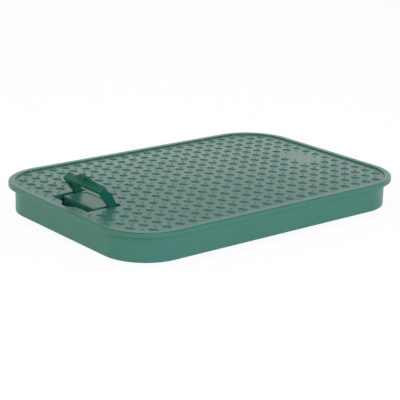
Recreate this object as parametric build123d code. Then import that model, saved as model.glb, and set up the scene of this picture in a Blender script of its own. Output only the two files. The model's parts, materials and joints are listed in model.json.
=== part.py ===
from build123d import *
import math
import os

# A moulded green lid for an underground valve box: a rectangular plate with round corners, a raised rim,
# a checker tread of diagonal bars, a deep skirt set in under the rim, and a fold-down carrying handle.
# Millimetres. X runs along the lid, the handle is at the -X end, Z is up and 0 is the skirt's lower edge.

# Lid outline
LID_LENGTH = 430.0
LID_WIDTH = 294.5
LID_HEIGHT = 37.0
CORNER_RADIUS = 63.0

# Rim and plate
RIM_WIDTH = 7.9
RIM_EDGE_THICKNESS = 6.0
RIM_EDGE_ROUND = 1.4
RIM_RISE = 1.8
PLATE_THICKNESS = 5.0

# Skirt
RIM_OVERHANG = 8.2
SKIRT_WALL = 5.0
SKIRT_FOOT_CHAMFER = 0.8

# Ribs under the plate
RIB_THICKNESS = 3.5
RIB_DEPTH = 12.0
RIB_CELLS_ALONG = 9
RIB_CELLS_ACROSS = 6

# Tread
TREAD_PITCH = 18.0
BAR_LENGTH = 11.0
BAR_WIDTH = 3.4
BAR_HEIGHT = 1.4
BAR_SIDE_ANGLE = 34.0
BAR_MARGIN = 1.5
LABEL_FIELD_FROM_END = 51.5
LABEL_FIELD_LENGTH = 33.0
LABEL_FIELD_WIDTH = 54.0

# Handle: reach is measured from the hinge axis, front and back are the two sides of the flat loop
HINGE_FROM_END = 58.4
HINGE_BELOW_RIM = 6.8
HANDLE_WIDTH = 72.6
HANDLE_REACH = 35.6
LEG_WIDTH = 5.0
GRIP_DEPTH = 4.8
GRIP_FRONT = 3.7
GRIP_BACK = 5.8
HUB_RADIUS = 4.6
HUB_TAPER_LENGTH = 9.0
SHOULDER_HEIGHT = 6.6
SHOULDER_REACH = 22.5
SHOULDER_RAMP = 4.5
LOOP_CORNER_RADIUS = 2.0
RAISED_ANGLE = 56.0
TAB_BASE = 42.0
TAB_TIP = 13.0
TAB_REACH = 6.8
TAB_THICKNESS = 2.2
TAB_CORNER_RADIUS = 3.0
GUSSET_THICKNESS = 1.4
GUSSET_REACH = 2.4
DIMPLE_REACH = 12.6
DIMPLE_RADIUS = 3.0
DIMPLE_DEPTH = 0.6
PIN_RADIUS = 2.5
PIN_LENGTH = 3.6

# Pocket round the folded handle
POCKET_SIDE_CLEARANCE = 0.6
POCKET_FRONT_CLEARANCE = 3.8
POCKET_BACK_CLEARANCE = 0.9
POCKET_FLOOR_CLEARANCE = 1.2
POCKET_WALL = 3.5
POCKET_CORNER_RADIUS = 1.5
NOTCH_BASE = 29.0
NOTCH_TIP = 10.0
NOTCH_REACH = 7.5
NOTCH_CORNER_RADIUS = 2.5
BORE_CLEARANCE = 0.08
BORE_END_CLEARANCE = 0.4
BOSS_WALL = 2.0

# Tongue of the plate inside the handle
TONGUE_SIDE_CLEARANCE = 0.5
TONGUE_FRONT_CLEARANCE = 2.9
TONGUE_BORDER_WIDTH = 3.6
TONGUE_BORDER_RISE = 1.2

# Places and levels worked out from the sizes above
FIELD_Z = LID_HEIGHT - RIM_RISE
PLATE_BOTTOM_Z = FIELD_Z - PLATE_THICKNESS
RIM_BOTTOM_Z = LID_HEIGHT - RIM_EDGE_THICKNESS
HINGE_X = HINGE_FROM_END - LID_LENGTH / 2
LABEL_FIELD_CENTRE_X = LID_LENGTH / 2 - LABEL_FIELD_FROM_END
HINGE_Z = LID_HEIGHT - HINGE_BELOW_RIM
POCKET_FLOOR_Z = HINGE_Z - GRIP_BACK - POCKET_FLOOR_CLEARANCE

# The pocket and the tongue in plan
POCKET_HALF_WIDTH = HANDLE_WIDTH / 2 + POCKET_SIDE_CLEARANCE
POCKET_FRONT_X = HINGE_X - HANDLE_REACH - POCKET_FRONT_CLEARANCE
POCKET_BACK_X = HINGE_X + HUB_RADIUS + POCKET_BACK_CLEARANCE
TONGUE_HALF_WIDTH = HANDLE_WIDTH / 2 - LEG_WIDTH - TONGUE_SIDE_CLEARANCE
TONGUE_FRONT_X = HINGE_X - HANDLE_REACH + GRIP_DEPTH + TONGUE_FRONT_CLEARANCE


def slab(inset, bottom, top):
    """A plate with the lid's outline moved inwards by inset, between two levels."""
    outline = RectangleRounded(LID_LENGTH - 2 * inset, LID_WIDTH - 2 * inset, CORNER_RADIUS - inset)
    return Pos(0, 0, bottom) * extrude(outline, top - bottom)


def block(x_low, x_high, y_low, y_high, z_low, z_high):
    """A box between six levels."""
    box = Box(x_high - x_low, y_high - y_low, z_high - z_low, align=(Align.MIN, Align.MIN, Align.MIN))
    return Pos(x_low, y_low, z_low) * box


def shell():
    """The plate with its raised rim and the skirt under it."""
    rim = slab(0, RIM_BOTTOM_Z, LID_HEIGHT)
    rim = fillet(rim.faces().sort_by(Axis.Z)[-1].edges(), RIM_EDGE_ROUND)
    body = rim + slab(RIM_OVERHANG, 0, LID_HEIGHT - RIM_EDGE_ROUND)
    body -= slab(RIM_WIDTH, FIELD_Z, LID_HEIGHT)
    body -= slab(RIM_OVERHANG + SKIRT_WALL, 0, PLATE_BOTTOM_Z)
    foot = body.faces().sort_by(Axis.Z)[0].edges()
    return chamfer(foot, SKIRT_FOOT_CHAMFER)


def ribs():
    """The grid of stiffening ribs under the plate, from skirt to skirt."""
    inset = RIM_OVERHANG + SKIRT_WALL / 2
    half_length = LID_LENGTH / 2 - inset
    half_width = LID_WIDTH / 2 - inset
    pitch_along = (LID_LENGTH - 2 * RIM_OVERHANG - 2 * SKIRT_WALL) / RIB_CELLS_ALONG
    pitch_across = (LID_WIDTH - 2 * RIM_OVERHANG - 2 * SKIRT_WALL) / RIB_CELLS_ACROSS
    low = PLATE_BOTTOM_Z - RIB_DEPTH
    high = PLATE_BOTTOM_Z + PLATE_THICKNESS / 2
    half = RIB_THICKNESS / 2
    grid = []
    for i in range(1, RIB_CELLS_ALONG):
        x = (i - RIB_CELLS_ALONG / 2) * pitch_along
        grid.append(block(x - half, x + half, -half_width, half_width, low, high))
    for j in range(1, RIB_CELLS_ACROSS):
        y = (j - RIB_CELLS_ACROSS / 2) * pitch_across
        grid.append(block(-half_length, half_length, y - half, y + half, low, high))
    return (Part() + grid) & slab(inset, 0, LID_HEIGHT)


def pocket_outline(grow):
    """The plan of the handle pocket with its finger notch, grown outwards by grow."""
    notch = Polyline(
        (POCKET_FRONT_X + POCKET_CORNER_RADIUS, NOTCH_BASE / 2 + POCKET_CORNER_RADIUS),
        (POCKET_FRONT_X - NOTCH_REACH, NOTCH_TIP / 2),
        (POCKET_FRONT_X - NOTCH_REACH, -NOTCH_TIP / 2),
        (POCKET_FRONT_X + POCKET_CORNER_RADIUS, -NOTCH_BASE / 2 - POCKET_CORNER_RADIUS),
        close=True,
    )
    length = POCKET_BACK_X - POCKET_FRONT_X
    middle = (POCKET_BACK_X + POCKET_FRONT_X) / 2
    plan = Pos(middle, 0) * RectangleRounded(length, 2 * POCKET_HALF_WIDTH, POCKET_CORNER_RADIUS)
    plan += make_face(notch)
    tips = plan.vertices().sort_by(Axis.X)[:2]
    plan = fillet(tips, NOTCH_CORNER_RADIUS)
    if grow:
        plan = offset(plan, grow)
    return plan


def pocket_tub():
    """The walls and floor that hang under the plate round the pocket, with bosses for the hinge pins."""
    floor = POCKET_FLOOR_Z - POCKET_WALL
    tub = Pos(0, 0, floor) * extrude(pocket_outline(POCKET_WALL), FIELD_Z - floor)
    boss_half = PIN_RADIUS + BORE_CLEARANCE + BOSS_WALL
    boss_reach = POCKET_HALF_WIDTH + PIN_LENGTH + BORE_END_CLEARANCE + BOSS_WALL
    boss = block(HINGE_X - boss_half, HINGE_X + boss_half, -boss_reach, boss_reach, floor, FIELD_Z)
    return tub + boss


def tongue():
    """The part of the plate that reaches into the handle, down to the pocket's floor."""
    floor = POCKET_FLOOR_Z - POCKET_WALL
    body = block(TONGUE_FRONT_X, POCKET_BACK_X, -TONGUE_HALF_WIDTH, TONGUE_HALF_WIDTH, floor, FIELD_Z)
    border = block(
        TONGUE_FRONT_X, POCKET_BACK_X, -TONGUE_HALF_WIDTH, TONGUE_HALF_WIDTH,
        FIELD_Z, FIELD_Z + TONGUE_BORDER_RISE,
    )
    inner = TONGUE_HALF_WIDTH - TONGUE_BORDER_WIDTH
    panel = block(
        TONGUE_FRONT_X + TONGUE_BORDER_WIDTH, POCKET_BACK_X - TONGUE_BORDER_WIDTH, -inner, inner,
        FIELD_Z, FIELD_Z + TONGUE_BORDER_RISE,
    )
    return body + (border - panel)


def pin_bores():
    """The blind bores in the pocket's side walls that the hinge pins turn in."""
    reach = POCKET_HALF_WIDTH + PIN_LENGTH - POCKET_SIDE_CLEARANCE + BORE_END_CLEARANCE
    bore = Cylinder(PIN_RADIUS + BORE_CLEARANCE, 2 * reach)
    inside = block(
        HINGE_X - HUB_RADIUS, HINGE_X + HUB_RADIUS, -POCKET_HALF_WIDTH, POCKET_HALF_WIDTH,
        HINGE_Z - HUB_RADIUS, HINGE_Z + HUB_RADIUS,
    )
    return Pos(HINGE_X, 0, HINGE_Z) * Rot(90, 0, 0) * bore - inside


def tread_bar():
    """One raised bar lying along X: a lozenge at its foot, with sides that slope in to a smaller flat top."""
    half_length = BAR_LENGTH / 2
    half_width = BAR_WIDTH / 2
    foot = Polyline((-half_length, 0), (0, -half_width), (half_length, 0), (0, half_width), close=True)
    return extrude(make_face(foot), BAR_HEIGHT, taper=BAR_SIDE_ANGLE)


def inside_field(x, y, margin):
    """True where a point is inside the rim by at least margin, round corners included."""
    half_x = LID_LENGTH / 2 - RIM_WIDTH - margin
    half_y = LID_WIDTH / 2 - RIM_WIDTH - margin
    radius = CORNER_RADIUS - RIM_WIDTH - margin
    if abs(x) > half_x or abs(y) > half_y:
        return False
    over_x = abs(x) - (half_x - radius)
    over_y = abs(y) - (half_y - radius)
    return over_x < 0 or over_y < 0 or math.hypot(over_x, over_y) < radius


def near_box(x, y, x_low, x_high, half_width, margin):
    """True where a point is inside a rectangle that is symmetrical in Y, or within margin of it."""
    return x_low - margin < x < x_high + margin and abs(y) < half_width + margin


def tread_places():
    """Where the bars stand and how they are turned: two sets at right angles, half a pitch apart."""
    half_pitch = TREAD_PITCH / 2
    reach = BAR_LENGTH / 2 * math.sqrt(0.5)
    margin = reach + BAR_MARGIN
    label_low = LABEL_FIELD_CENTRE_X - LABEL_FIELD_LENGTH / 2
    label_high = LABEL_FIELD_CENTRE_X + LABEL_FIELD_LENGTH / 2
    columns = int(LID_LENGTH / TREAD_PITCH)
    rows = int(LID_WIDTH / TREAD_PITCH)
    places = []
    for i in range(-columns, columns + 1):
        for j in range(-rows, rows + 1):
            x = i * half_pitch
            y = j * half_pitch
            if (i + j) % 2 == 0:
                continue
            slope = 45 if i % 2 == 0 else -45
            sign = 1 if slope > 0 else -1
            ends = [(x - reach, y - sign * reach), (x + reach, y + sign * reach)]
            if not all(inside_field(end_x, end_y, BAR_MARGIN) for end_x, end_y in ends):
                continue
            if near_box(x, y, POCKET_FRONT_X, POCKET_BACK_X, POCKET_HALF_WIDTH, margin):
                continue
            if near_box(x, y, POCKET_FRONT_X - NOTCH_REACH, POCKET_FRONT_X, NOTCH_BASE / 2, margin):
                continue
            if near_box(x, y, label_low, label_high, LABEL_FIELD_WIDTH / 2, 0):
                continue
            places.append(Location((x, y, FIELD_Z), (0, 0, slope)))
    return places


def lid():
    """The whole lid, one moulding."""
    body = shell() + ribs() + pocket_tub()
    well_height = LID_HEIGHT - POCKET_FLOOR_Z
    well = Pos(0, 0, POCKET_FLOOR_Z) * extrude(pocket_outline(0), well_height)
    body = body - well + tongue() - pin_bores()
    bar = tread_bar()
    bars = [place * bar for place in tread_places()]
    return body.fuse(*bars)


def loop_profile():
    """The side view of the folded handle: a hub, legs that rise to a shoulder, and the grip at the end."""
    side = Polyline(
        (0, HUB_RADIUS),
        (-SHOULDER_REACH, SHOULDER_HEIGHT),
        (-SHOULDER_REACH - SHOULDER_RAMP, GRIP_FRONT),
        (-HANDLE_REACH, GRIP_FRONT),
        (-HANDLE_REACH, -GRIP_BACK),
        (-HUB_TAPER_LENGTH, -GRIP_BACK),
        (0, -HUB_RADIUS),
        close=True,
    )
    return make_face(side) + Circle(HUB_RADIUS)


def block_from(outline, z_low, z_high):
    """A plan outline made solid between two levels, whichever way its face points."""
    return Pos(0, 0, z_low) * extrude(outline, z_high - z_low, dir=(0, 0, 1))


def finger_tab():
    """The tab on the outer side of the grip that a finger lifts, level with the grip's front."""
    tab = make_face(Polyline(
        (-HANDLE_REACH + GRIP_DEPTH / 2, -TAB_BASE / 2),
        (-HANDLE_REACH + GRIP_DEPTH / 2, TAB_BASE / 2),
        (-HANDLE_REACH, TAB_BASE / 2),
        (-HANDLE_REACH - TAB_REACH, TAB_TIP / 2),
        (-HANDLE_REACH - TAB_REACH, -TAB_TIP / 2),
        (-HANDLE_REACH, -TAB_BASE / 2),
        close=True,
    ))
    tab = fillet(tab.vertices().sort_by(Axis.X)[:2], TAB_CORNER_RADIUS)
    return block_from(tab, GRIP_FRONT - TAB_THICKNESS, GRIP_FRONT)


def gusset():
    """The thin rib under the middle of the tab, down the outer side of the grip."""
    tab_under = GRIP_FRONT - TAB_THICKNESS
    side = Plane.XZ * make_face(Polyline(
        (-HANDLE_REACH + GRIP_DEPTH / 2, tab_under),
        (-HANDLE_REACH - GUSSET_REACH, tab_under),
        (-HANDLE_REACH, -GRIP_BACK),
        (-HANDLE_REACH + GRIP_DEPTH / 2, -GRIP_BACK),
        close=True,
    ))
    return extrude(side, GUSSET_THICKNESS / 2, both=True)


def dimples():
    """Round dimples in both sides of each leg, as balls that cut their faces to the dimple's depth."""
    ball_radius = (DIMPLE_RADIUS ** 2 + DIMPLE_DEPTH ** 2) / (2 * DIMPLE_DEPTH)
    outer = HANDLE_WIDTH / 2
    inner = outer - LEG_WIDTH
    rise = ball_radius - DIMPLE_DEPTH
    balls = []
    for side in (-1, 1):
        for y in (side * (outer + rise), side * (inner - rise)):
            balls.append(Pos(-DIMPLE_REACH, y, 0) * Sphere(ball_radius))
    return balls


def handle_folded():
    """The carrying handle lying in its pocket: a U of one moulding with its pins on the hinge axis at 0."""
    half = HANDLE_WIDTH / 2
    inner = half - LEG_WIDTH
    bow = extrude(Plane.XZ * loop_profile(), half, both=True)
    corners = bow.edges().filter_by(Axis.Z).sort_by(Axis.X)[:2]
    bow = fillet(corners, LOOP_CORNER_RADIUS)
    height = SHOULDER_HEIGHT + GRIP_BACK
    opening = block(-HANDLE_REACH + GRIP_DEPTH, 2 * HUB_RADIUS, -inner, inner, -height, height)
    pins = Rot(90, 0, 0) * Cylinder(PIN_RADIUS, HANDLE_WIDTH + 2 * PIN_LENGTH)
    return bow + pins + finger_tab() + gusset() - opening - dimples()


def handle():
    """The handle raised about its hinge, as it stands at rest."""
    return Pos(HINGE_X, 0, HINGE_Z) * Rot(0, RAISED_ANGLE, 0) * handle_folded()


os.makedirs("parts", exist_ok=True)
export_step(lid(), "parts/lid.step")
export_step(handle(), "parts/handle.step")
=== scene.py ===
"""A moulded green valve box lid with a fold-down handle, dressed for a studio picture.

The frame gives the lid's box, the hinge and the moving bodies. Each operator makes one piece in metres,
in the frame's own place, and the stage operator adds the floor, the lamps and the camera.
"""

import json
import math

import bpy
import numpy as np
from mathutils import Matrix, Vector


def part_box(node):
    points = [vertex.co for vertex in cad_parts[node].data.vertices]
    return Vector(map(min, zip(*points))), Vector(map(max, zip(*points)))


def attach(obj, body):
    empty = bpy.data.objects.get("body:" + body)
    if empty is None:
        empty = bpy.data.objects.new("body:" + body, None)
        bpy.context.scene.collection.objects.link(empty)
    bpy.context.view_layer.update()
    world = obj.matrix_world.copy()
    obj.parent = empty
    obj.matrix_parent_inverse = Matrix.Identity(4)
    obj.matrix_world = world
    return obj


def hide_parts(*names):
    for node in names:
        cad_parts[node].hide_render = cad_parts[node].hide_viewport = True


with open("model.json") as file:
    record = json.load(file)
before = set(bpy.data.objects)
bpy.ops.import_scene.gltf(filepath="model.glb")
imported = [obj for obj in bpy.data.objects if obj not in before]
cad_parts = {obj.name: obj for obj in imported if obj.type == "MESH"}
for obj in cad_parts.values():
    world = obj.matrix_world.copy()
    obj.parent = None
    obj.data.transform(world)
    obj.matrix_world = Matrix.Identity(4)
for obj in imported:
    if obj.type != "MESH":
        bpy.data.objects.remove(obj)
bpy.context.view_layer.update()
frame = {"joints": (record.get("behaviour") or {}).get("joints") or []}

bl_info = {
    "name": "Valve box lid",
    "version": (1, 0, 0),
    "blender": (4, 5, 0),
    "location": "View3D > Sidebar > Valve lid",
    "description": "Makes a moulded valve box lid with a checker tread and a fold-down handle",
    "category": "Add Mesh",
}

MM = 0.001
LID_HIGH = Vector(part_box("lid")[1])
HINGE = next(joint for joint in frame["joints"] if joint["name"] == "handle_hinge")
HINGE_PLACE = Vector(HINGE["pos_m"])

# Edges that turn by more than these stay sharp in the shading, or are rounded by the Bevel.
SHARP_ANGLE = math.radians(35)
BEVEL_ANGLE = math.radians(40)
# A face counts as level when its normal's height is this or more, up or down.
LEVEL_FACE = 0.998

# How large the two patterns in the plastic are, from one soft spot to the next.
MOTTLE = 35 * MM
GRAIN = 1 * MM

# Each lamp's place, the side of its square face and its tint. Its power is a setting of the same name.
LAMPS = {
    "top": ((0.3, 0.5, 2.0), 0.7, (1, 1, 1)),
    "left": ((-2.1, 0.2, 0.95), 0.9, (1, 1, 1)),
    "right": ((-0.4, -2.0, 0.95), 0.9, (0.72, 0.62, 1.0)),
}
WHITE = (1, 1, 1, 1)
FLOOR_HALF_SIDE = 6.0
SENSOR_WIDTH_MM = 36.0


def linear(hex_colour):
    """An sRGB hex colour as linear red, green and blue."""
    values = [int(hex_colour[start:start + 2], 16) / 255 for start in (1, 3, 5)]
    return tuple(v / 12.92 if v <= 0.04045 else ((v + 0.055) / 1.055) ** 2.4 for v in values)


def length(name, description, default):
    """A length setting in metres."""
    return bpy.props.FloatProperty(
        name=name, description=description, default=default, unit="LENGTH", precision=5,
    )


def degrees(name, description, value):
    """An angle setting, given in degrees and kept in radians."""
    return bpy.props.FloatProperty(
        name=name, description=description, default=math.radians(value), subtype="ANGLE",
    )


def number(name, description, default, unit="NONE"):
    """A plain number setting, or one in a unit."""
    return bpy.props.FloatProperty(name=name, description=description, default=default, unit=unit)


def whole_number(name, description, default):
    """A setting that counts things."""
    return bpy.props.IntProperty(name=name, description=description, default=default, min=1)


def colour(name, description, hex_colour):
    """A colour setting, kept as linear values."""
    return bpy.props.FloatVectorProperty(
        name=name, description=description, default=linear(hex_colour), subtype="COLOR", size=3, min=0, max=1,
    )


class LidSizes(bpy.types.PropertyGroup):
    """Sizes of the lid that the frame's box doesn't give."""

    corner_radius: length("Corner radius", "Radius of the lid's corners in plan", 63.0 * MM)
    height: length("Height", "Height of the rim's top", 37.0 * MM)
    rim_width: length("Rim width", "Width of the raised band round the top", 8.0 * MM)
    rim_edge: length("Rim edge", "Thickness of the rim at its outer edge", 6.0 * MM)
    rim_round: length("Rim round", "Radius of the rim's upper outer edge", 1.4 * MM)
    rim_rise: length("Rim rise", "How far the rim stands above the field's edge", 1.7 * MM)
    crown: length("Crown", "How far the field's middle stands above its edge", 3.4 * MM)
    plate: length("Plate", "Thickness of the plate under the tread", 5.0 * MM)
    overhang: length("Overhang", "How far the rim reaches out past the skirt", 8.2 * MM)
    skirt_wall: length("Skirt wall", "Thickness of the skirt", 5.0 * MM)
    foot_round: length("Foot round", "Radius of the skirt's lower edges", 0.8 * MM)
    small_round: length("Small round", "Radius of the other moulded edges", 0.5 * MM)
    rib: length("Rib", "Thickness of the ribs under the plate", 3.5 * MM)
    rib_depth: length("Rib depth", "Depth of the ribs under the plate", 12.0 * MM)
    rib_cells_along: whole_number("Cells along", "Rib cells along the lid", 9)
    rib_cells_across: whole_number("Cells across", "Rib cells across the lid", 6)


class TreadSizes(bpy.types.PropertyGroup):
    """Sizes of the checker tread."""

    pitch: length("Pitch", "Distance between bars of one slant", 18.1 * MM)
    bar_length: length("Bar length", "Length of a bar at its foot", 11.5 * MM)
    bar_width: length("Bar width", "Width of a bar at its foot", 2.2 * MM)
    bar_height: length("Bar height", "Height of a bar", 1.1 * MM)
    rim_margin: length("Rim margin", "From a bar's middle to the rim, at the least", 2.3 * MM)
    pocket_margin: length("Pocket margin", "From a bar's middle to the pocket, at the least", 2.8 * MM)
    slot_margin: length("Slot margin", "From a bar's middle to a pin slot, at the least", 4.5 * MM)
    bare_centre: length("Bare field centre", "From the lid's end to the middle of the bare field", 52.1 * MM)
    bare_length: length("Bare field length", "Size of the bare field along the lid", 27.0 * MM)
    bare_width: length("Bare field width", "Size of the bare field across the lid", 48.0 * MM)


class HandleSizes(bpy.types.PropertyGroup):
    """Sizes of the handle and of the pocket that it folds into."""

    width: length("Width", "Overall width of the handle", 72.6 * MM)
    reach: length("Reach", "From the hinge axis to the grip's outer side", 35.6 * MM)
    leg: length("Leg", "Thickness of a leg across the lid", 3.6 * MM)
    grip: length("Grip", "Depth of the grip towards the hinge", 4.8 * MM)
    front: length("Front", "From the hinge plane to the grip's front", 3.7 * MM)
    back: length("Back", "From the hinge plane to the handle's back", 5.8 * MM)
    hub: length("Hub", "Radius of the round end at the hinge", 3.7 * MM)
    hub_taper: length("Hub taper", "Length over which the back slopes to the hub", 20.0 * MM)
    shoulder_height: length("Shoulder height", "Height of the legs' shoulder above the hinge plane", 6.6 * MM)
    shoulder_reach: length("Shoulder reach", "From the hinge axis to the shoulder", 22.5 * MM)
    shoulder_ramp: length("Shoulder ramp", "Length of the shoulder's ramp", 4.5 * MM)
    corner: length("Corner", "Radius of the loop's outer corners", 1.2 * MM)
    raised: degrees("Raised", "How far the handle stands up at rest", 56)
    tab_base: length("Tab base", "Width of the finger tab at the grip", 42.0 * MM)
    tab_tip: length("Tab tip", "Width of the finger tab at its tip", 13.0 * MM)
    tab_reach: length("Tab reach", "How far the finger tab stands out", 6.8 * MM)
    tab_thickness: length("Tab thickness", "Thickness of the finger tab", 2.2 * MM)
    tab_corner: length("Tab corner", "Radius of the finger tab's corners", 3.0 * MM)
    gusset: length("Gusset", "Thickness of the rib under the tab", 1.4 * MM)
    gusset_reach: length("Gusset reach", "How far the rib stands out under the tab", 2.4 * MM)
    dimple_reach: length("Dimple reach", "From the hinge axis to the legs' dimples", 12.6 * MM)
    dimple_radius: length("Dimple radius", "Radius of a dimple at its mouth", 3.0 * MM)
    dimple_depth: length("Dimple depth", "Depth of a dimple", 0.6 * MM)
    pin: length("Pin", "Radius of the hinge pins", 2.5 * MM)
    pin_length: length("Pin length", "How far a pin stands out of its leg", 3.6 * MM)
    edge: length("Edge", "Radius of the handle's edges", 0.45 * MM)
    side_gap: length("Side gap", "Gap between a leg and the pocket's wall", 0.6 * MM)
    front_gap: length("Front gap", "Gap between the folded grip and the pocket", 3.8 * MM)
    back_gap: length("Back gap", "Gap between the hub and the pocket", 1.3 * MM)
    floor_gap: length("Floor gap", "Gap between the folded handle and the floor", 1.2 * MM)
    pocket_wall: length("Pocket wall", "Thickness of the pocket's walls and floor", 3.5 * MM)
    pocket_corner: length("Pocket corner", "Radius of the pocket's corners", 1.5 * MM)
    notch_base: length("Notch base", "Width of the finger notch at the pocket", 29.0 * MM)
    notch_tip: length("Notch tip", "Width of the finger notch at its end", 10.0 * MM)
    notch_reach: length("Notch reach", "Depth of the finger notch", 7.5 * MM)
    notch_corner: length("Notch corner", "Radius of the finger notch's corners", 2.5 * MM)
    bore_gap: length("Bore gap", "Gap between a pin and its bore", 0.08 * MM)
    bore_end_gap: length("Bore end gap", "Gap between a pin's end and its bore's end", 0.4 * MM)
    boss_wall: length("Boss wall", "Wall round a bore", 2.0 * MM)
    slot_width: length("Slot width", "Width of the open slot over a pin", 8.0 * MM)
    slot_end_gap: length("Slot end gap", "Gap between a pin's end and its slot's end", 1.1 * MM)
    slot_floor: length("Slot floor", "From the hinge axis up to a slot's floor", 1.2 * MM)
    tongue_side_gap: length("Tongue side gap", "Gap between a leg and the tongue", 1.9 * MM)
    tongue_front_gap: length("Tongue front gap", "Gap between the folded grip and the tongue", 3.8 * MM)
    border: length("Border", "Width of the border round the tongue's sunk panel", 3.6 * MM)
    panel_depth: length("Panel depth", "Depth of the tongue's sunk panel", 0.6 * MM)


class Finishes(bpy.types.PropertyGroup):
    """Colours and gloss of the two mouldings."""

    lid_colour: colour("Lid", "Colour of the lid's plastic", "#418B72")
    lid_shade: colour("Lid shade", "The darker of the lid's two mottled tones", "#388069")
    lid_roughness: number("Lid roughness", "Mean roughness of the lid", 0.34)
    lid_grain: length("Lid grain", "Depth of the mould's grain on the lid", 0.02 * MM)
    handle_colour: colour("Handle", "Colour of the handle's plastic", "#1A775B")
    handle_shade: colour("Handle shade", "The darker of the handle's two mottled tones", "#166B51")
    handle_roughness: number("Handle roughness", "Mean roughness of the handle", 0.26)
    handle_grain: length("Handle grain", "Depth of the mould's grain on the handle", 0.015 * MM)


class StageLook(bpy.types.PropertyGroup):
    """The camera's place, worked out from the photograph, and the lamps' strengths."""

    azimuth: degrees("Azimuth", "Camera's turn round the lid from the -Y side", -39.461)
    elevation: degrees("Elevation", "Camera's height angle", 17.204)
    roll: degrees("Roll", "Camera's turn about its own line of sight", 1.532)
    distance: length("Distance", "From the camera to its target", 1628.28 * MM)
    target: bpy.props.FloatVectorProperty(
        name="Target", description="Point that the camera looks at", default=(9.64 * MM, 17.0 * MM, 0.0),
        subtype="TRANSLATION", size=3,
    )
    focal_length: number("Focal length", "Lens in millimetres on a 36 mm sensor", 117.43, "CAMERA")
    horizon: number("Horizon", "Strength of the light from low down", 1.8)
    zenith: number("Zenith", "Strength of the light from above", 0.15)
    top: number("Top lamp", "Power of the lamp overhead", 8.0, "POWER")
    left: number("Left lamp", "Power of the lamp at the handle's end", 5.0, "POWER")
    right: number("Right lamp", "Power of the lamp at the long side", 21.0, "POWER")


def clean_ring(points):
    """A closed outline without points that repeat their neighbour."""
    step = np.linalg.norm(points - np.roll(points, 1, axis=0), axis=1)
    return points[step > 1e-7]


def arc(centre, radius, start, end, steps):
    """Points on a circle: centre plus radius times (cos, sin) of angles from start to end, in degrees."""
    angle = np.radians(np.linspace(start, end, steps + 1))
    return np.stack([centre[0] + radius * np.cos(angle), centre[1] + radius * np.sin(angle)], axis=1)


def rounded_outline(corners, radii, steps=6):
    """An anticlockwise outline whose corners are arcs: each arc touches both sides at radius times the
    tangent of half the turn from the corner, and its points divide the turn evenly."""
    corners = np.asarray(corners, dtype=float)
    before = np.roll(corners, 1, axis=0) - corners
    after = np.roll(corners, -1, axis=0) - corners
    before /= np.linalg.norm(before, axis=1, keepdims=True)
    after /= np.linalg.norm(after, axis=1, keepdims=True)
    points = []
    for corner, back, ahead, radius in zip(corners, before, after, radii):
        if radius <= 0:
            points.append(corner[None, :])
            continue
        half = math.acos(np.clip(np.dot(back, ahead), -1, 1)) / 2
        middle = (back + ahead) / np.linalg.norm(back + ahead)
        centre = corner + middle * radius / math.sin(half)
        first = corner + back * radius / math.tan(half) - centre
        last = corner + ahead * radius / math.tan(half) - centre
        start = math.atan2(first[1], first[0])
        turn = (math.atan2(last[1], last[0]) - start + math.pi) % (2 * math.pi) - math.pi
        angle = start + turn * np.linspace(0, 1, steps + 1)
        points.append(centre + radius * np.stack([np.cos(angle), np.sin(angle)], axis=1))
    return clean_ring(np.concatenate(points))


def outward_normals(outline):
    """Unit normals of an anticlockwise outline: the mean of the two sides' normals at each point, longer
    at a corner so that both sides move out by one unit."""
    side = np.roll(outline, -1, axis=0) - outline
    side /= np.linalg.norm(side, axis=1, keepdims=True)
    normal = np.stack([side[:, 1], -side[:, 0]], axis=1)
    mean = normal + np.roll(normal, 1, axis=0)
    mean /= np.linalg.norm(mean, axis=1, keepdims=True)
    return mean / np.sum(mean * normal, axis=1, keepdims=True)


def moved_out(outline, outsets):
    """Copies of an outline, each moved out along its normals by one of the outsets."""
    return outline[None] + np.asarray(outsets)[:, None, None] * outward_normals(outline)[None]


def ring_faces(rings, points):
    """Quads between neighbouring rings of points, each ring closed on itself."""
    row, column = np.meshgrid(np.arange(rings - 1), np.arange(points), indexing="ij")
    start = row * points
    following = (column + 1) % points
    quads = np.stack([start + column, start + following, start + points + following, start + points + column],
                     axis=-1)
    return quads.reshape(-1, 4)


def solid_from_rings(name, rings):
    """A closed mesh from an array of rings (ring, point, xyz), with a flat cap on the first and last."""
    count, points = rings.shape[:2]
    faces = ring_faces(count, points).tolist()
    faces.append(list(range(points))[::-1])
    faces.append(list(range((count - 1) * points, count * points)))
    return new_piece(name, rings.reshape(-1, 3), faces)


def new_piece(name, vertices, faces):
    """A linked mesh object at the origin, with its faces pointing outwards."""
    mesh = bpy.data.meshes.new(name)
    mesh.from_pydata(np.asarray(vertices).tolist(), [], faces)
    mesh.validate()
    piece = bpy.data.objects.new(name, mesh)
    bpy.context.collection.objects.link(piece)
    face_out(mesh)
    return piece


def face_out(mesh):
    """Turns a closed mesh the right way out: its signed volume has to be positive."""
    mesh.update()
    mesh.calc_loop_triangles()
    corners = np.empty(len(mesh.loop_triangles) * 3, dtype=np.int64)
    mesh.loop_triangles.foreach_get("vertices", corners)
    points = np.empty(len(mesh.vertices) * 3)
    mesh.vertices.foreach_get("co", points)
    a, b, c = points.reshape(-1, 3)[corners.reshape(-1, 3)].transpose(1, 0, 2)
    if np.sum(a * np.cross(b, c)) < 0:
        mesh.flip_normals()


def prism(name, outline, stations):
    """An outline carried up through stations of (outset, height): each ring is the outline moved out along
    its normals by the outset."""
    outsets, heights = np.transpose(stations)
    spread = moved_out(outline, outsets)
    height = np.broadcast_to(heights[:, None, None], spread.shape[:2] + (1,))
    return solid_from_rings(name, np.concatenate([spread, height], axis=2))


def block(name, low, high):
    """A closed box between two corners."""
    outline = np.array([(low[0], low[1]), (high[0], low[1]), (high[0], high[1]), (low[0], high[1])])
    return prism(name, outline, [(0, low[2]), (0, high[2])])


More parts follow.
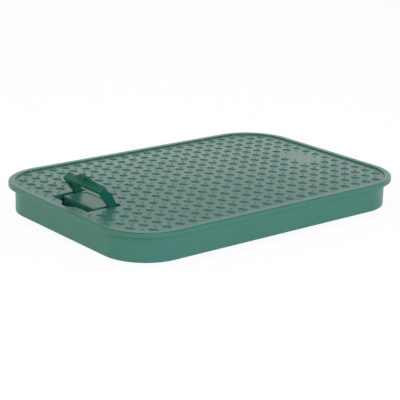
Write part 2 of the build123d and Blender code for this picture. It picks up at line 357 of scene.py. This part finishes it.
def combine(piece, operand, operation):
    """Applies a boolean of the operand to the piece, and deletes the operand."""
    modifier = piece.modifiers.new(operation.title(), "BOOLEAN")
    modifier.operation = operation
    modifier.solver = "MANIFOLD"
    modifier.object = operand
    settle(piece)
    bpy.data.objects.remove(operand)
    if not piece.data.polygons:
        raise RuntimeError(f"{piece.name} is empty after {operation}")


def settle(piece):
    """Replaces a piece's mesh by the result of its modifiers."""
    graph = bpy.context.evaluated_depsgraph_get()
    graph.update()
    finished = bpy.data.meshes.new_from_object(piece.evaluated_get(graph))
    piece.modifiers.clear()
    old = piece.data
    piece.data = finished
    bpy.data.meshes.remove(old)


def shade(piece):
    """Smooth shading with sharp edges, and normals weighted by area, so that a large face keeps its own
    light beside a small round. Faces with many corners are split into triangles first, and faces that are
    level or nearly so are shaded flat."""
    triangles = piece.modifiers.new("Triangles", "TRIANGULATE")
    triangles.min_vertices = 5
    settle(piece)
    mesh = piece.data
    normals = np.empty(3 * len(mesh.polygons))
    mesh.polygons.foreach_get("normal", normals)
    mesh.polygons.foreach_set("use_smooth", np.abs(normals[2::3]) < LEVEL_FACE)
    mesh.set_sharp_from_angle(angle=SHARP_ANGLE)
    weighted = piece.modifiers.new("Normals", "WEIGHTED_NORMAL")
    weighted.keep_sharp = True
    settle(piece)
    piece.data.name = piece.name


def dress(piece, body, node, material):
    """Rides a finished piece on its body in place of its node and its material."""
    piece.data.materials.clear()
    piece.data.materials.append(material)
    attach(piece, body)
    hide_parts(node)


def lid_outline(sizes, inset, steps=24, side_points=20):
    """The lid's rounded rectangle moved in by inset, anticlockwise: four arcs, with evenly spaced points
    along the straight sides between them."""
    half_x = LID_HIGH.x - inset
    half_y = LID_HIGH.y - inset
    corners = [(half_x, -half_y), (half_x, half_y), (-half_x, half_y), (-half_x, -half_y)]
    arcs = rounded_outline(corners, [sizes.corner_radius - inset] * 4, steps).reshape(4, steps + 1, 2)
    start = arcs[:, -1, None]
    end = np.roll(arcs[:, 0], -1, axis=0)[:, None]
    share = np.linspace(0, 1, side_points + 2)[1:-1, None]
    return np.concatenate([arcs, start + (end - start) * share], axis=1).reshape(-1, 2)


def field_height(sizes, x, y):
    """The level of the field: its edge's level, plus the crown times one less the square of the share of
    the way from the middle to the rim along the lid, times the same across it."""
    along = x / (LID_HIGH.x - sizes.rim_width)
    across = y / (LID_HIGH.y - sizes.rim_width)
    return sizes.height - sizes.rim_rise + sizes.crown * (1 - along ** 2) * (1 - across ** 2)


def lid_levels(sizes, handle):
    """The heights that the lid's parts share. Inside is a level within the plate all over the lid."""
    field = sizes.height - sizes.rim_rise
    plate = field - sizes.plate
    floor = HINGE_PLACE.z - handle.back - handle.floor_gap
    return {
        "top": sizes.height,
        "field": field,
        "inside": (plate + sizes.crown + field) / 2,
        "rim": sizes.height - sizes.rim_edge,
        "ribs": plate - sizes.rib_depth,
        "floor": floor,
        "tub": floor - handle.pocket_wall,
    }


def lid_shell(sizes, levels):
    """Field, rim and skirt, solid down to the ribs' lower edge. The field is its outline drawn in to the
    middle in steps, each point at the crowned field's height. Then a profile of insets and heights is
    carried round the lid's rounded rectangle, over the rim, down the skirt and up its inner side, and a
    flat cap closes it there."""
    small = sizes.small_round
    foot = sizes.foot_round
    inner = sizes.overhang + sizes.skirt_wall
    profile = np.concatenate([
        arc((sizes.rim_width - small, levels["top"] - small), small, 0, 90, 4),
        arc((sizes.rim_round, levels["top"] - sizes.rim_round), sizes.rim_round, 90, 180, 8),
        arc((small, levels["rim"] + small), small, 180, 270, 3),
        arc((sizes.overhang - small, levels["rim"] - small), small, 90, 0, 4),
        arc((sizes.overhang + foot, foot), foot, 180, 270, 4),
        arc((inner - foot, foot), foot, 270, 360, 4),
        [(inner, levels["ribs"])],
    ])
    # The field ends just short of the rim's foot, and its first ring is nearly a point.
    seam = 0.1 * MM
    edge = lid_outline(sizes, sizes.rim_width + seam)
    shares = np.linspace(0.02, 1, 16)
    rings = []
    for share in shares:
        x, y = (share * edge).T
        rings.append(np.column_stack([x, y, field_height(sizes, x, y)]))
    for inset, height in profile:
        outline = lid_outline(sizes, inset)
        rings.append(np.column_stack([outline, np.full(len(outline), height)]))
    return solid_from_rings("lid_moulding", np.array(rings))


def cell_ends(half, cells, rib):
    """Both ends of each cell along one axis: equal shares of the way from -half to half, less half a rib at
    each rib, and a millimetre past the way's own ends."""
    step = np.arange(cells)
    pitch = 2 * half / cells
    low = -half + step * pitch + np.where(step > 0, rib / 2, -MM)
    high = -half + (step + 1) * pitch - np.where(step < cells - 1, rib / 2, -MM)
    return low, high


def rib_cells(sizes, levels):
    """The hollows between the ribs: boxes on a grid, cut to the skirt's inner outline."""
    inner = sizes.overhang + sizes.skirt_wall
    column, row = np.indices((sizes.rib_cells_along, sizes.rib_cells_across)).reshape(2, -1)
    low_x, high_x = (end[column] for end in cell_ends(LID_HIGH.x - inner, sizes.rib_cells_along, sizes.rib))
    low_y, high_y = (end[row] for end in cell_ends(LID_HIGH.y - inner, sizes.rib_cells_across, sizes.rib))
    x = np.stack([low_x, high_x, high_x, low_x] * 2, axis=1)
    y = np.stack([low_y, low_y, high_y, high_y] * 2, axis=1)
    z = field_height(sizes, x, y) - sizes.plate
    z[:, :4] = levels["ribs"] - MM
    vertices = np.stack([x, y, z], axis=-1)
    faces = np.array([(3, 2, 1, 0), (4, 5, 6, 7), (0, 1, 5, 4), (1, 2, 6, 5), (2, 3, 7, 6), (3, 0, 4, 7)])
    all_faces = faces[None] + 8 * np.arange(len(vertices))[:, None, None]
    cells = new_piece("rib_cells", vertices.reshape(-1, 3), all_faces.reshape(-1, 4).tolist())
    limit = prism("cell_limit", lid_outline(sizes, inner), [(0, levels["ribs"] - 2 * MM), (0, levels["top"])])
    combine(cells, limit, "INTERSECT")
    return cells


def pocket_sides(handle):
    """The pocket's front, back and half width, which leave their gaps round the folded handle."""
    front = HINGE_PLACE.x - handle.reach - handle.front_gap
    back = HINGE_PLACE.x + handle.hub + handle.back_gap
    half = handle.width / 2 + handle.side_gap
    return front, back, half


def slot_reach(handle):
    """How far the open slots over the pins reach across the lid from its middle line."""
    return handle.width / 2 + handle.pin_length + handle.slot_end_gap


def pocket_outline(handle):
    """The pocket's plan: a rectangle round the folded handle, with the finger notch in its front side."""
    front, back, half = pocket_sides(handle)
    tip = front - handle.notch_reach
    base = handle.notch_base / 2
    narrow = handle.notch_tip / 2
    corners = [
        (back, -half), (back, half), (front, half), (front, base),
        (tip, narrow), (tip, -narrow), (front, -base), (front, -half),
    ]
    corner = handle.pocket_corner
    notch = handle.notch_corner
    return rounded_outline(corners, [corner, corner, corner, 0, notch, notch, 0, corner])


def pocket_tub(handle, levels):
    """The walls and floor under the plate round the pocket, with a boss each side for the pin bores."""
    wall = handle.pocket_wall
    tub = prism("tub", pocket_outline(handle), [(wall, levels["tub"]), (wall, levels["inside"])])
    half = handle.slot_width / 2 + handle.boss_wall
    reach = slot_reach(handle) + handle.boss_wall
    low = (HINGE_PLACE.x - half, -reach, levels["tub"])
    high = (HINGE_PLACE.x + half, reach, levels["inside"])
    combine(tub, block("boss", low, high), "UNION")
    return tub


def sunk_space(sizes, name, outline, floor, small):
    """What a hollow takes out of the plate: its plan from the floor up, flared by a quarter circle of the
    small radius where it meets the crowned field, and on up clear of the tread."""
    clear = 4 * MM
    flare = arc((small, -small), small, 180, 90, 4)
    outsets, lifts = np.concatenate([flare, [(small, clear)]]).T
    height = field_height(sizes, outline[:, 0], outline[:, 1])[None] + lifts[:, None]
    upper = np.concatenate([moved_out(outline, outsets), height[..., None]], axis=2)
    lower = np.column_stack([outline, np.full(len(outline), floor)])[None]
    return solid_from_rings(name, np.concatenate([lower, upper]))


def pin_slots(sizes, handle):
    """The open slots over both pins, as one straight channel across the pocket."""
    reach = slot_reach(handle)
    low = HINGE_PLACE.x - handle.slot_width / 2
    high = HINGE_PLACE.x + handle.slot_width / 2
    corners = [(low, -reach), (high, -reach), (high, reach), (low, reach)]
    outline = rounded_outline(corners, [sizes.small_round] * 4, 3)
    return sunk_space(sizes, "slots", outline, HINGE_PLACE.z + handle.slot_floor, sizes.small_round / 2)


def tongue(sizes, handle, levels):
    """The tongue inside the handle: its outline carried up out of the pocket's floor and over a rounded
    edge, in to the border's inner outline and down a quarter circle to the sunk panel. Its top is a plane,
    level with the field's edge at the front and with the crowned field at the back, and its root is in the
    pocket's wall."""
    small = sizes.small_round
    half = handle.width / 2 - handle.leg - handle.tongue_side_gap
    front = HINGE_PLACE.x - handle.reach + handle.grip + handle.tongue_front_gap
    back = pocket_sides(handle)[1]
    root = back + handle.pocket_wall / 2
    top = levels["field"]
    rise = field_height(sizes, back, 0) - top
    outer = rounded_outline([(root, -half), (root, half), (front, half), (front, -half)], [small] * 4, 4)
    near, far, side = front + handle.border, back - handle.border, half - handle.border
    inner = rounded_outline([(far, -side), (far, side), (near, side), (near, -side)], [2 * small] * 4, 4)
    soft = handle.panel_depth / 2
    edge = arc((-small, top - small), small, 0, 90, 4)
    flare = arc((soft, top - soft), soft, 90, 180, 4)
    rings = [np.column_stack([outer, np.full(len(outer), levels["tub"] + MM)])]
    for outline, stations in ((outer, edge), (inner, [*flare, (0, top - handle.panel_depth)])):
        outsets, heights = np.transpose(stations)
        for spread, height in zip(moved_out(outline, outsets), heights):
            tilted = height + rise * (spread[:, 0] - front) / (back - front)
            rings.append(np.column_stack([spread, tilted]))
    return solid_from_rings("tongue", np.array(rings))


def round_bar(name, radius, y_low, y_high, steps=32):
    """A cylinder along Y on the hinge axis."""
    circle = arc((HINGE_PLACE.x, HINGE_PLACE.z), radius, 0, 360, steps)[:-1]
    return along_y(name, circle, y_low, y_high)


def inside_field(sizes, x, y, margin):
    """Where points are inside the rim by at least margin: inside both half widths, and inside the corner's
    circle where they are past its centre both ways."""
    inset = sizes.rim_width + margin
    radius = sizes.corner_radius - inset
    over_x = np.abs(x) - (LID_HIGH.x - inset - radius)
    over_y = np.abs(y) - (LID_HIGH.y - inset - radius)
    in_corner = (over_x > 0) & (over_y > 0)
    return np.where(in_corner, np.hypot(over_x, over_y) < radius, (over_x < radius) & (over_y < radius))


def in_box(x, y, x_low, x_high, half_width, margin):
    """Where points are inside a rectangle symmetrical in Y, or within margin of it."""
    return (x > x_low - margin) & (x < x_high + margin) & (np.abs(y) < half_width + margin)


def tread_places(sizes, handle, tread):
    """Bar centres on every other point of a square grid of half the pitch, with the slant that goes with
    the column: one way in even columns and the other way in odd ones."""
    columns = int(LID_HIGH.x * 2 / tread.pitch)
    rows = int(LID_HIGH.y * 2 / tread.pitch)
    i, j = np.meshgrid(np.arange(-columns, columns + 1), np.arange(-rows, rows + 1), indexing="ij")
    i, j = i[(i + j) % 2 == 1], j[(i + j) % 2 == 1]
    x = i * tread.pitch / 2
    y = j * tread.pitch / 2
    slant = np.where(i % 2 == 0, 1, -1)
    keep = inside_field(sizes, x, y, tread.rim_margin)
    front, back, half = pocket_sides(handle)
    keep &= ~in_box(x, y, front, back, half, tread.pocket_margin)
    keep &= ~in_box(x, y, front - handle.notch_reach, front, handle.notch_base / 2, 0)
    slot_low = HINGE_PLACE.x - handle.slot_width / 2
    keep &= ~in_box(x, y, slot_low, slot_low + handle.slot_width, slot_reach(handle), tread.slot_margin)
    bare_low = LID_HIGH.x - tread.bare_centre - tread.bare_length / 2
    keep &= ~in_box(x, y, bare_low, bare_low + tread.bare_length, tread.bare_width / 2, 0)
    return np.stack([x, y, slant], axis=1)[keep]


def tread_bars(sizes, handle, tread):
    """All bars as closed domes, turned 45 degrees by their slants. Along a bar s runs from -1 to 1 and the
    half width is that of the middle times one less s squared; across it t runs from -1 to 1 and the height
    is the bar's, times one less the fourth power of t, times one less the sixth power of s. The factors of
    s don't fall below a thin share, so that the tips stay closed, and the foot is sunk into the plate."""
    s = np.sin(np.linspace(-1, 1, 11) * math.pi / 2)
    t = np.linspace(-1, 1, 7)
    thin = 0.06
    foot_depth = 0.4 * MM
    half_width = tread.bar_width / 2 * np.maximum(1 - s ** 2, thin)
    height = tread.bar_height * np.maximum(1 - np.abs(s) ** 6, thin)
    top_y = half_width[:, None] * t[None]
    top_z = height[:, None] * (1 - t[None] ** 4)
    sunk = np.full((len(s), 1), -foot_depth)
    across = np.concatenate([top_y, half_width[:, None], -half_width[:, None]], axis=1)
    up = np.concatenate([top_z, sunk, sunk], axis=1)
    along = np.broadcast_to(tread.bar_length / 2 * s[:, None], across.shape)
    stations, ring = across.shape
    places = tread_places(sizes, handle, tread)
    turn = np.radians(45) * places[:, 2, None, None]
    x = places[:, 0, None, None] + along * np.cos(turn) - across * np.sin(turn)
    y = places[:, 1, None, None] + along * np.sin(turn) + across * np.cos(turn)
    z = field_height(sizes, x, y) + up
    vertices = np.stack([x, y, z], axis=-1).reshape(-1, 3)
    offsets = np.arange(len(places)) * stations * ring
    quads = (ring_faces(stations, ring)[None] + offsets[:, None, None]).reshape(-1, 4).tolist()
    first = (np.arange(ring)[::-1][None] + offsets[:, None]).tolist()
    last = (np.arange(ring)[None] + (stations - 1) * ring + offsets[:, None]).tolist()
    return new_piece("tread_bars", vertices, quads + first + last)


def loop_side(handle):
    """The folded handle from the side, about the hinge: back, hub, the shoulder on the legs, and grip."""
    return clean_ring(np.concatenate([
        [(-handle.hub_taper, -handle.back)],
        arc((0, 0), handle.hub, -90, 90, 16),
        [(-handle.shoulder_reach, handle.shoulder_height)],
        [(-handle.shoulder_reach - handle.shoulder_ramp, handle.front)],
        [(-handle.reach, handle.front), (-handle.reach, -handle.back)],
    ]))


def loop_plan(handle):
    """The folded handle from above: a rectangle with rounded corners at the grip."""
    half = handle.width / 2
    corners = [(handle.hub * 2, -half), (handle.hub * 2, half), (-handle.reach, half), (-handle.reach, -half)]
    return rounded_outline(corners, [0, 0, handle.corner, handle.corner], 6)


def along_y(name, side, y_low, y_high):
    """A side view (x, z) carried along Y."""
    rings = [np.column_stack([side[:, 0], np.full(len(side), y), side[:, 1]]) for y in (y_low, y_high)]
    return solid_from_rings(name, np.array(rings))


def finger_tab(handle):
    """The tab on the grip's outer side: a trapezoid with rounded tips, and the thin rib under its middle."""
    face = -handle.reach
    root = face + handle.grip / 2
    tip = face - handle.tab_reach
    wide = handle.tab_base / 2
    narrow = handle.tab_tip / 2
    corners = [(root, -wide), (root, wide), (face, wide), (tip, narrow), (tip, -narrow), (face, -wide)]
    outline = rounded_outline(corners, [0, 0, 0, handle.tab_corner, handle.tab_corner, 0])
    under = handle.front - handle.tab_thickness
    tab = prism("tab", outline, [(0, under), (0, handle.front)])
    ahead = face - handle.gusset_reach
    upper = under + handle.tab_thickness / 2
    side = np.array([
        (ahead, upper), (ahead, under), (face, -handle.back), (root, -handle.back), (root, upper),
    ])
    rib = along_y("gusset", side, -handle.gusset / 2, handle.gusset / 2)
    combine(tab, rib, "UNION")
    return tab


def ball(name, centre, radius, rings=16, around=32):
    """A sphere: rings of latitude about Y from pole to pole, with small caps at the poles."""
    pole = 0.02
    tilt = np.linspace(pole, math.pi - pole, rings)
    turn = np.linspace(0, 2 * math.pi, around, endpoint=False)
    x = centre[0] + radius * np.sin(tilt)[:, None] * np.cos(turn)[None]
    z = centre[2] + radius * np.sin(tilt)[:, None] * np.sin(turn)[None]
    y = np.broadcast_to(centre[1] + radius * np.cos(tilt)[:, None], x.shape)
    return solid_from_rings(name, np.stack([x, y, z], axis=-1))


def cut_dimples(loop, handle):
    """Cuts a round dimple into both faces of each leg. A ball that goes in by the dimple's depth has the
    dimple's radius at the face when its own is (radius squared + depth squared) / (2 times depth)."""
    ball_radius = (handle.dimple_radius ** 2 + handle.dimple_depth ** 2) / (2 * handle.dimple_depth)
    rise = ball_radius - handle.dimple_depth
    outer = handle.width / 2
    inner = outer - handle.leg
    for side in (-1, 1):
        for y in (side * (outer + rise), side * (inner - rise)):
            combine(loop, ball("dimple", (-handle.dimple_reach, y, 0), ball_radius), "DIFFERENCE")


def round_edges(piece, width):
    """Rounds a piece's sharp edges with a Bevel of three segments."""
    bevel = piece.modifiers.new("Edges", "BEVEL")
    bevel.width = width
    bevel.segments = 3
    bevel.limit_method = "ANGLE"
    bevel.angle_limit = BEVEL_ANGLE
    bevel.use_clamp_overlap = True
    settle(piece)


def add_node(tree, kind, settings=None, links=None):
    """Adds a node, sets its inputs or properties by name, and links sockets into its inputs."""
    node = tree.nodes.new(kind)
    for key, value in (settings or {}).items():
        if key in node.inputs:
            node.inputs[key].default_value = value
        else:
            setattr(node, key, value)
    for key, socket in (links or {}).items():
        tree.links.new(socket, node.inputs[key])
    return node


def map_range(tree, value, source, result):
    """A value carried from the source range to the result range, and kept within that one."""
    settings = {"From Min": source[0], "From Max": source[1], "To Min": result[0], "To Max": result[1]}
    return add_node(tree, "ShaderNodeMapRange", settings, {"Value": value}).outputs["Result"]


def mix_shaders(tree, share, first, second):
    """A shader that goes from the first node's to the second node's as the share goes from 0 to 1."""
    links = {0: share, 1: first.outputs[0], 2: second.outputs[0]}
    return add_node(tree, "ShaderNodeMixShader", None, links).outputs[0]


def new_material(name):
    """An empty node material and its tree."""
    material = bpy.data.materials.new(name)
    material.use_nodes = True
    material.node_tree.nodes.clear()
    return material, material.node_tree


def moulded_polyethylene(name, light, dark, roughness, grain_depth):
    """Injection-moulded polyethylene: an even pigment with slight flow mottling some 35 mm across, a
    semi-gloss skin that varies a little in gloss, and the fine spark grain of the mould, which is drawn
    about 1 mm coarse because the real grain of 0.1 mm wouldn't show."""
    material, tree = new_material(name)
    place = {"Vector": add_node(tree, "ShaderNodeTexCoord").outputs["Object"]}
    flow_settings = {"Scale": 1 / MOTTLE, "Detail": 3.0, "Roughness": 0.5}
    flow = add_node(tree, "ShaderNodeTexNoise", flow_settings, place).outputs["Fac"]
    grain = add_node(tree, "ShaderNodeTexNoise", {"Scale": 1 / GRAIN, "Detail": 2.0}, place).outputs["Fac"]
    # The sockets of a colour Mix go by number: 0 is its factor, and 6 and 7 are its two colours.
    pigment = add_node(tree, "ShaderNodeMix", {"data_type": "RGBA"}, {0: flow})
    pigment.inputs[6].default_value = (*dark, 1)
    pigment.inputs[7].default_value = (*light, 1)
    gloss_change = 0.03
    gloss = map_range(tree, flow, (0.3, 0.7), (roughness - gloss_change, roughness + gloss_change))
    bump = add_node(tree, "ShaderNodeBump", {"Strength": 0.5, "Distance": grain_depth}, {"Height": grain})
    links = {"Base Color": pigment.outputs[2], "Roughness": gloss, "Normal": bump.outputs["Normal"]}
    skin = add_node(tree, "ShaderNodeBsdfPrincipled", {"IOR": 1.5, "Specular IOR Level": 0.5}, links)
    add_node(tree, "ShaderNodeOutputMaterial", None, {"Surface": skin.outputs["BSDF"]})
    return material


def lamp(name, place, size, power, tint):
    """A square area lamp that looks at the origin."""
    data = bpy.data.lights.new(name, "AREA")
    data.shape = "SQUARE"
    data.size = size
    data.energy = power
    data.color = tint
    light = bpy.data.objects.new(name, data)
    light.location = place
    light.rotation_euler = (-Vector(place)).to_track_quat("-Z", "Y").to_euler()
    bpy.context.collection.objects.link(light)


def background(tree, horizon, zenith, away):
    """A world that shows plain white to the camera. It lights the object as a bright backdrop in a dark
    studio does: the strength falls from the horizon's to the zenith's as the direction's height goes from
    0.05 to 0.65, and to 0.35 of that as the direction turns from the backdrop to the camera's side."""
    seen = add_node(tree, "ShaderNodeLightPath").outputs["Is Camera Ray"]
    direction = add_node(tree, "ShaderNodeTexCoord").outputs["Generated"]
    height = add_node(tree, "ShaderNodeSeparateXYZ", None, {"Vector": direction}).outputs["Z"]
    facing = add_node(tree, "ShaderNodeVectorMath", {"operation": "DOT_PRODUCT"}, {0: direction})
    facing.inputs[1].default_value = away
    by_height = map_range(tree, height, (0.05, 0.65), (horizon, zenith))
    by_side = map_range(tree, facing.outputs["Value"], (-0.3, 0.6), (0.35, 1.0))
    strength = add_node(tree, "ShaderNodeMath", {"operation": "MULTIPLY"}, {0: by_height, 1: by_side})
    studio = add_node(tree, "ShaderNodeBackground", {"Color": WHITE}, {"Strength": strength.outputs[0]})
    white = add_node(tree, "ShaderNodeBackground", {"Color": WHITE, "Strength": 1.0})
    add_node(tree, "ShaderNodeOutputWorld", None, {"Surface": mix_shaders(tree, seen, studio, white)})


def studio_floor():
    """A light table: white paper lit from below. Most of what it gives off is its own glow, more so to the
    camera, so that the lamps' share takes it to white and the object's shadow still shows."""
    material, tree = new_material("white light table")
    seen = add_node(tree, "ShaderNodeLightPath").outputs["Is Camera Ray"]
    glow = add_node(tree, "ShaderNodeEmission", {"Color": WHITE, "Strength": 1.09})
    paper = add_node(tree, "ShaderNodeBsdfDiffuse", {"Color": (0.86, 0.86, 0.86, 1)})
    share = map_range(tree, seen, (0.0, 1.0), (0.55, 0.85))
    add_node(tree, "ShaderNodeOutputMaterial", None, {"Surface": mix_shaders(tree, share, paper, glow)})
    return material


def floor_sheet():
    """A large level square at the height of the skirt's foot, laid with the light table's material."""
    side = FLOOR_HALF_SIDE
    mesh = bpy.data.meshes.new("floor")
    corners = [(-side, -side, 0), (side, -side, 0), (side, side, 0), (-side, side, 0)]
    mesh.from_pydata(corners, [], [(0, 1, 2, 3)])
    mesh.materials.append(studio_floor())
    floor = bpy.data.objects.new("floor", mesh)
    bpy.context.collection.objects.link(floor)
    return floor


def camera_matrix(look):
    """The camera's place and turn: out from the target by the distance, at the azimuth and elevation,
    looking back at it, and rolled about its own line of sight."""
    back = Vector((
        math.sin(look.azimuth) * math.cos(look.elevation),
        -math.cos(look.azimuth) * math.cos(look.elevation),
        math.sin(look.elevation),
    ))
    right = Vector((0, 0, 1)).cross(back).normalized()
    up = back.cross(right)
    turn = Matrix((right, up, back)).transposed() @ Matrix.Rotation(look.roll, 3, "Z")
    return Matrix.Translation(Vector(look.target) + back * look.distance) @ turn.to_4x4()


class VALVE_LID_OT_lid(bpy.types.Operator):
    """Make the lid: rim, skirt, ribs, pocket, tongue and tread"""

    bl_idname = "valve_lid.lid"
    bl_label = "Lid"

    def execute(self, context):
        scene = context.scene
        sizes, handle, tread = scene.lid_sizes, scene.handle_sizes, scene.tread_sizes
        levels = lid_levels(sizes, handle)
        lid = lid_shell(sizes, levels)
        cells = rib_cells(sizes, levels)
        combine(cells, pocket_tub(handle, levels), "DIFFERENCE")
        combine(lid, cells, "DIFFERENCE")
        combine(lid, tread_bars(sizes, handle, tread), "UNION")
        well = sunk_space(sizes, "well", pocket_outline(handle), levels["floor"], sizes.small_round)
        combine(lid, well, "DIFFERENCE")
        combine(lid, pin_slots(sizes, handle), "DIFFERENCE")
        combine(lid, tongue(sizes, handle, levels), "UNION")
        wall = handle.width / 2 + handle.side_gap
        end = handle.width / 2 + handle.pin_length + handle.bore_end_gap
        for y_low, y_high in ((-end, -wall + MM), (wall - MM, end)):
            combine(lid, round_bar("bore", handle.pin + handle.bore_gap, y_low, y_high), "DIFFERENCE")
        shade(lid)
        finish = scene.lid_finishes
        # Semi-gloss polyethylene: a green body colour under a pale sheen wherever it is seen at a low angle.
        material = moulded_polyethylene(
            "moulded green polyethylene", finish.lid_colour, finish.lid_shade, finish.lid_roughness,
            finish.lid_grain,
        )
        dress(lid, "lid", "lid", material)
        return {"FINISHED"}


class VALVE_LID_OT_handle(bpy.types.Operator):
    """Make the handle: loop, finger tab, gusset, dimples and hinge pins"""

    bl_idname = "valve_lid.handle"
    bl_label = "Handle"

    def execute(self, context):
        scene = context.scene
        sizes = scene.handle_sizes
        half = sizes.width / 2
        inner = half - sizes.leg
        tall = sizes.shoulder_height + sizes.back
        loop = along_y("handle_moulding", loop_side(sizes), -half - MM, half + MM)
        combine(loop, prism("plan", loop_plan(sizes), [(0, -tall), (0, tall)]), "INTERSECT")
        gap = block("gap", (-sizes.reach + sizes.grip, -inner, -tall), (3 * sizes.hub, inner, tall))
        combine(loop, gap, "DIFFERENCE")
        combine(loop, finger_tab(sizes), "UNION")
        round_edges(loop, sizes.edge)
        cut_dimples(loop, sizes)
        loop.data.transform(Matrix.Rotation(sizes.raised, 4, "Y"))
        loop.data.transform(Matrix.Translation(HINGE_PLACE))
        end = half + sizes.pin_length
        for y_low, y_high in ((-end, -half + MM), (half - MM, end)):
            combine(loop, round_bar("pin", sizes.pin, y_low, y_high), "UNION")
        shade(loop)
        finish = scene.lid_finishes
        # The same plastic in a deeper green and a little smoother, so its faces keep more of their colour.
        material = moulded_polyethylene(
            "moulded deep green polyethylene", finish.handle_colour, finish.handle_shade,
            finish.handle_roughness, finish.handle_grain,
        )
        dress(loop, "handle", "handle", material)
        return {"FINISHED"}


class VALVE_LID_OT_stage(bpy.types.Operator):
    """Make the floor, the lamps, the world and the camera"""

    bl_idname = "valve_lid.stage"
    bl_label = "Stage"

    def execute(self, context):
        scene = context.scene
        look = scene.stage_look
        floor = floor_sheet()
        world = bpy.data.worlds.new("bright backdrop")
        world.use_nodes = True
        world.node_tree.nodes.clear()
        away = (-math.sin(look.azimuth), math.cos(look.azimuth), 0.0)
        background(world.node_tree, look.horizon, look.zenith, away)
        scene.world = world
        for name, (place, size, tint) in LAMPS.items():
            lamp(name, place, size, getattr(look, name), tint)
        data = bpy.data.cameras.new("camera")
        data.sensor_width = SENSOR_WIDTH_MM
        data.lens = look.focal_length
        camera = bpy.data.objects.new("camera", data)
        camera.matrix_world = camera_matrix(look)
        context.collection.objects.link(camera)
        scene.camera = camera
        scene.view_settings.view_transform = "Standard"
        return {"FINISHED"}


class VALVE_LID_PT_panel(bpy.types.Panel):
    """The lid's operators and settings"""

    bl_idname = "VALVE_LID_PT_panel"
    bl_label = "Valve box lid"
    bl_space_type = "VIEW_3D"
    bl_region_type = "UI"
    bl_category = "Valve lid"

    def draw(self, context):
        for operator in OPERATORS:
            self.layout.operator(operator.bl_idname)
        for group in GROUPS:
            box = self.layout.box()
            box.label(text=group)
            for name in GROUPS[group].__annotations__:
                box.prop(getattr(context.scene, group), name)


OPERATORS = (VALVE_LID_OT_lid, VALVE_LID_OT_handle, VALVE_LID_OT_stage)
GROUPS = {
    "lid_sizes": LidSizes,
    "tread_sizes": TreadSizes,
    "handle_sizes": HandleSizes,
    "lid_finishes": Finishes,
    "stage_look": StageLook,
}


def register():
    """Registers the settings, the operators and the panel."""
    for name, group in GROUPS.items():
        bpy.utils.register_class(group)
        setattr(bpy.types.Scene, name, bpy.props.PointerProperty(type=group))
    for item in (*OPERATORS, VALVE_LID_PT_panel):
        bpy.utils.register_class(item)


def unregister():
    """Removes what register added."""
    for item in (VALVE_LID_PT_panel, *reversed(OPERATORS)):
        bpy.utils.unregister_class(item)
    for name, group in reversed(list(GROUPS.items())):
        delattr(bpy.types.Scene, name)
        bpy.utils.unregister_class(group)


def main():
    """Makes the pieces and the stage."""
    register()
    bpy.ops.valve_lid.lid()
    bpy.ops.valve_lid.handle()
    bpy.ops.valve_lid.stage()
    bpy.context.view_layer.update()


if __name__ == "__main__":
    main()
